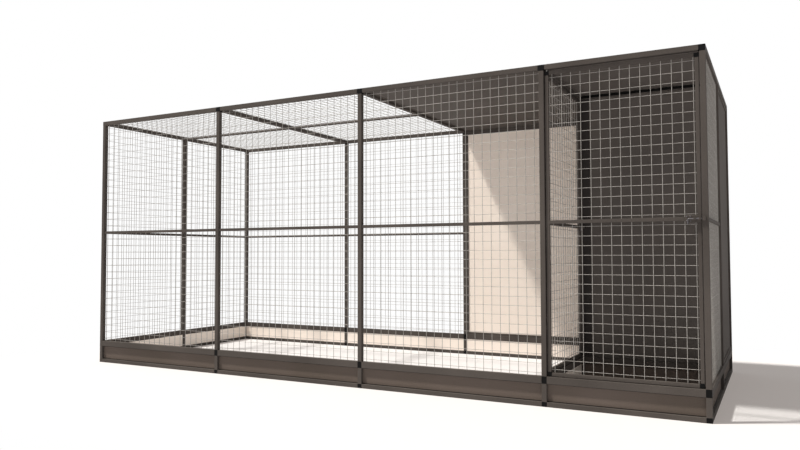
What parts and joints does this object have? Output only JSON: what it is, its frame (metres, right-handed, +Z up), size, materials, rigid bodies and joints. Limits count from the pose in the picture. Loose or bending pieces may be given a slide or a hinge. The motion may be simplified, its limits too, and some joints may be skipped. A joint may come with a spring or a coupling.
{
  "type": "outdoor aviary",
  "caption": "Walk-in outdoor aviary of square aluminium tube with wire mesh bays, a roofed solid corner and a mesh porch with outer and inner doors on pivot pins.",
  "frame": {"origin": "on the ground, at the middle of the outline including the latch in front", "axes": "+Z up, +X along the front towards the porch, -Y out of the front"},
  "size_m": [4.66, 1.8422, 2],
  "materials": {
    "powder_coat": "powder coated, fine texture, satin",
    "galvanised_wire": "galvanised welded wire",
    "dark_panel": "composite sheet, powder coated skin",
    "cream_panel": "composite sheet, cream inner face",
    "black_plastic": "moulded, satin",
    "zinc_plate": "zinc plated"
  },
  "bodies": {
    "frame": {"front_base": "powder_coat", "rear_base": "powder_coat", "left_base": "powder_coat", "right_base": "powder_coat", "partition_base": "powder_coat", "porch_rear_base": "powder_coat", "front_post_1": "powder_coat", "front_post_2": "powder_coat", "front_post_3": "powder_coat", "front_post_4": "powder_coat", "front_post_5": "powder_coat", "rear_post_1": "powder_coat", "rear_post_2": "powder_coat", "rear_post_3": "powder_coat", "rear_post_4": "powder_coat", "rear_post_5": "powder_coat", "left_middle_post": "powder_coat", "right_middle_post": "powder_coat", "partition_middle_post": "powder_coat", "front_top_rail_1": "powder_coat", "front_top_rail_2": "powder_coat", "front_top_rail_3": "powder_coat", "front_top_rail_4": "powder_coat", "rear_top_rail_1": "powder_coat", "rear_top_rail_2": "powder_coat", "rear_top_rail_3": "powder_coat", "rear_top_rail_4": "powder_coat", "left_top_rail": "powder_coat", "right_top_rail": "powder_coat", "cross_rail_1": "powder_coat", "cross_rail_2": "powder_coat", "cross_rail_3": "powder_coat", "porch_rear_top_rail": "powder_coat", "roof_spine_1": "powder_coat", "roof_spine_2": "powder_coat", "front_mesh_1": "galvanised_wire", "front_mesh_2": "galvanised_wire", "front_mesh_3": "galvanised_wire", "rear_mesh_1": "galvanised_wire", "rear_mesh_2": "galvanised_wire", "left_mesh_front": "galvanised_wire", "left_mesh_rear": "galvanised_wire", "right_mesh": "galvanised_wire", "roof_mesh_1": "galvanised_wire", "roof_mesh_2": "galvanised_wire", "porch_rear_panel": "dark_panel", "right_panel": "dark_panel", "roof_panel_3": "dark_panel", "roof_panel_4": "dark_panel", "rear_panel_3": "cream_panel", "rear_panel_4": "cream_panel", "front_door_keeper": "black_plastic", "inner_door_keeper": "black_plastic"},
    "front_door": {"front_door_frame": "powder_coat", "front_door_mesh": "galvanised_wire"},
    "front_bolt": {"front_door_bolt": "zinc_plate"},
    "inner_door": {"inner_door_frame": "powder_coat", "inner_door_mesh": "galvanised_wire"},
    "inner_bolt": {"inner_door_bolt": "zinc_plate"}
  },
  "joints": [
    {"name": "front_door_hinge", "type": "hinge", "parent": "frame", "child": "front_door", "pos_m": [1.465, -0.8889, 0.178], "axis": [0, 0, -1], "range_deg": [0, 100]},
    {"name": "front_bolt_slide", "type": "slide", "parent": "front_door", "child": "front_bolt", "axis": [1, 0, 0], "range_m": [0, 0.02]},
    {"name": "inner_door_hinge", "type": "hinge", "parent": "frame", "child": "inner_door", "pos_m": [1.43, -0.8639, 0.178], "axis": [0, 0, 1], "range_deg": [0, 90]},
    {"name": "inner_bolt_slide", "type": "slide", "parent": "inner_door", "child": "inner_bolt", "axis": [0, 1, 0], "range_m": [0, 0.02]}
  ]
}
